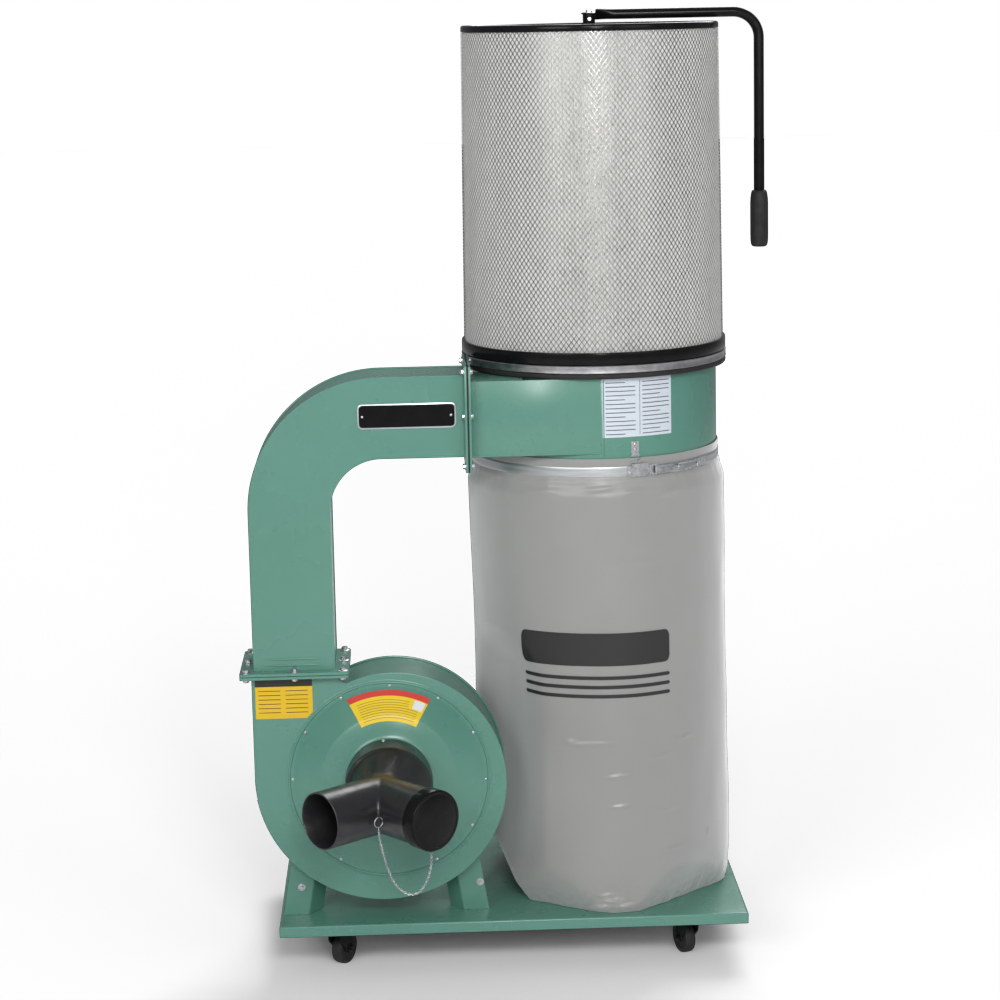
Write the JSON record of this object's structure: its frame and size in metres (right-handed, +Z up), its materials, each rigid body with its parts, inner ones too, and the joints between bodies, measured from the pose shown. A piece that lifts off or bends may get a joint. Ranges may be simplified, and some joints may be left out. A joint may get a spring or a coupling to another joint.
{
  "type": "dust collector",
  "caption": "Portable workshop dust collector: fan housing, elbow duct, drum, clear bag, pleated canister filter with agitator crank, Y inlet and swivel casters.",
  "frame": {"origin": "middle of the machine's footprint, on the floor under the casters", "axes": "+Z up, +X to the operator's right, from the fan towards the drum, +Y away from the operator"},
  "size_m": [1.044, 0.8123, 1.8365],
  "materials": {
    "green_paint": "satin enamel on pressed steel",
    "black_plastic": "moulded, satin",
    "black_paint": "semi-gloss black",
    "black_rubber": "matte",
    "zinc": "bright zinc plate",
    "bag_film": "translucent film, creased",
    "cage_mesh": "expanded steel mesh",
    "filter_media": "pleated filter media",
    "steel": "machined",
    "impeller": "cast",
    "start_button": "moulded green",
    "stop_button": "moulded red",
    "nameplate": "printed black, blank"
  },
  "bodies": {
    "frame": {"base_plate": "green_paint", "left_leg": "green_paint", "right_leg": "green_paint", "motor_stand": "green_paint", "fan_housing": "green_paint", "inlet_cover": "green_paint", "elbow_duct": "green_paint", "drum": "green_paint", "left_post": "green_paint", "right_post": "green_paint", "motor_flange": "green_paint", "y_connector": "black_plastic", "switch_box": "black_plastic", "cable_gland": "black_plastic", "canister_base": "black_paint", "canister_lid": "black_paint", "motor_shell": "black_paint", "fan_cowl": "black_paint", "capacitor_cover": "black_paint", "canister_gasket": "black_rubber", "foot_gasket": "black_rubber", "side_gasket": "black_rubber", "bag_band": "zinc", "latch_bracket": "zinc", "latch_hook": "zinc", "bag_hanger": "zinc", "canister_band": "zinc", "chain_eye": "zinc", "cap_chain": "zinc", "shaft_spider": "zinc", "caster_plate_front_left": "zinc", "caster_plate_front_right": "zinc", "caster_plate_rear_left": "zinc", "caster_plate_rear_right": "zinc", "dust_bag": "bag_film", "filter_cage": "cage_mesh", "filter_pleats": "filter_media", "nameplate": "nameplate"},
    "rotor": {"motor_shaft": "steel", "impeller": "impeller", "cooling_fan": "black_plastic"},
    "agitator": {"crank_hub": "black_paint", "crank_arm": "black_paint", "agitator_shaft": "zinc", "beater_frame": "steel"},
    "grip": {"crank_grip": "black_rubber"},
    "inlet_cap": {"port_cap": "black_plastic"},
    "lever": {"latch_lever": "zinc"},
    "bail": {"latch_bail": "zinc"},
    "start": {"start_button": "start_button"},
    "stop": {"stop_button": "stop_button"},
    "swivel_front_left": {"caster_fork_front_left": "zinc"},
    "wheel_front_left": {"caster_wheel_front_left": "black_rubber"},
    "swivel_front_right": {"caster_fork_front_right": "zinc"},
    "wheel_front_right": {"caster_wheel_front_right": "black_rubber"},
    "swivel_rear_left": {"caster_fork_rear_left": "zinc"},
    "wheel_rear_left": {"caster_wheel_rear_left": "black_rubber"},
    "swivel_rear_right": {"caster_fork_rear_right": "zinc"},
    "wheel_rear_right": {"caster_wheel_rear_right": "black_rubber"}
  },
  "joints": [
    {"name": "rotor_turn", "type": "hinge", "parent": "frame", "child": "rotor", "pos_m": [-0.24395, 0.03, 0.3865], "axis": [0, 1, 0], "continuous": true},
    {"name": "crank_turn", "type": "hinge", "parent": "frame", "child": "agitator", "pos_m": [0.17705, 0.13908, 1.8], "axis": [0, 0, 1], "continuous": true},
    {"name": "grip_turn", "type": "hinge", "parent": "agitator", "child": "grip", "pos_m": [0.50505, 0.13908, 1.42], "axis": [0, 0, 1], "continuous": true},
    {"name": "cap_pull", "type": "slide", "parent": "frame", "child": "inlet_cap", "axis": [0.6494, -0.7604, 0], "range_m": [0, 0.06]},
    {"name": "latch_open", "type": "hinge", "parent": "frame", "child": "lever", "pos_m": [0.27721, -0.08801, 0.97475], "axis": [0, 0, -1], "range_deg": [0, 110]},
    {"name": "bail_swing", "type": "hinge", "parent": "lever", "child": "bail", "pos_m": [0.32171, -0.06751, 0.97475], "axis": [0, 0, -1], "range_deg": [0, 90]},
    {"name": "start_press", "type": "slide", "parent": "frame", "child": "start", "axis": [-1, 0, 0], "range_m": [0, 0.003], "stiffness_N_per_m": 400},
    {"name": "stop_press", "type": "slide", "parent": "frame", "child": "stop", "axis": [-1, 0, 0], "range_m": [0, 0.003], "stiffness_N_per_m": 400},
    {"name": "caster_swivel_front_left", "type": "hinge", "parent": "frame", "child": "swivel_front_left", "pos_m": [-0.35295, -0.06592, 0.09], "axis": [0, 0, 1], "continuous": true},
    {"name": "wheel_roll_front_left", "type": "hinge", "parent": "swivel_front_left", "child": "wheel_front_left", "pos_m": [-0.34195, -0.04687, 0.0315], "axis": [0.866, -0.5, 0], "continuous": true},
    {"name": "caster_swivel_front_right", "type": "hinge", "parent": "frame", "child": "swivel_front_right", "pos_m": [0.33505, -0.06592, 0.09], "axis": [0, 0, 1], "continuous": true},
    {"name": "wheel_roll_front_right", "type": "hinge", "parent": "swivel_front_right", "child": "wheel_front_right", "pos_m": [0.32753, -0.04525, 0.0315], "axis": [0.9397, 0.342, 0], "continuous": true},
    {"name": "caster_swivel_rear_left", "type": "hinge", "parent": "frame", "child": "swivel_rear_left", "pos_m": [-0.35295, 0.34408, 0.09], "axis": [0, 0, 1], "continuous": true},
    {"name": "wheel_roll_rear_left", "type": "hinge", "parent": "swivel_rear_left", "child": "wheel_rear_left", "pos_m": [-0.36557, 0.3621, 0.0315], "axis": [0.8191, 0.5736, 0], "continuous": true},
    {"name": "caster_swivel_rear_right", "type": "hinge", "parent": "frame", "child": "swivel_rear_right", "pos_m": [0.33505, 0.34408, 0.09], "axis": [0, 0, 1], "continuous": true},
    {"name": "wheel_roll_rear_right", "type": "hinge", "parent": "swivel_rear_right", "child": "wheel_rear_right", "pos_m": [0.34257, 0.36475, 0.0315], "axis": [0.9397, -0.342, 0], "continuous": true}
  ]
}
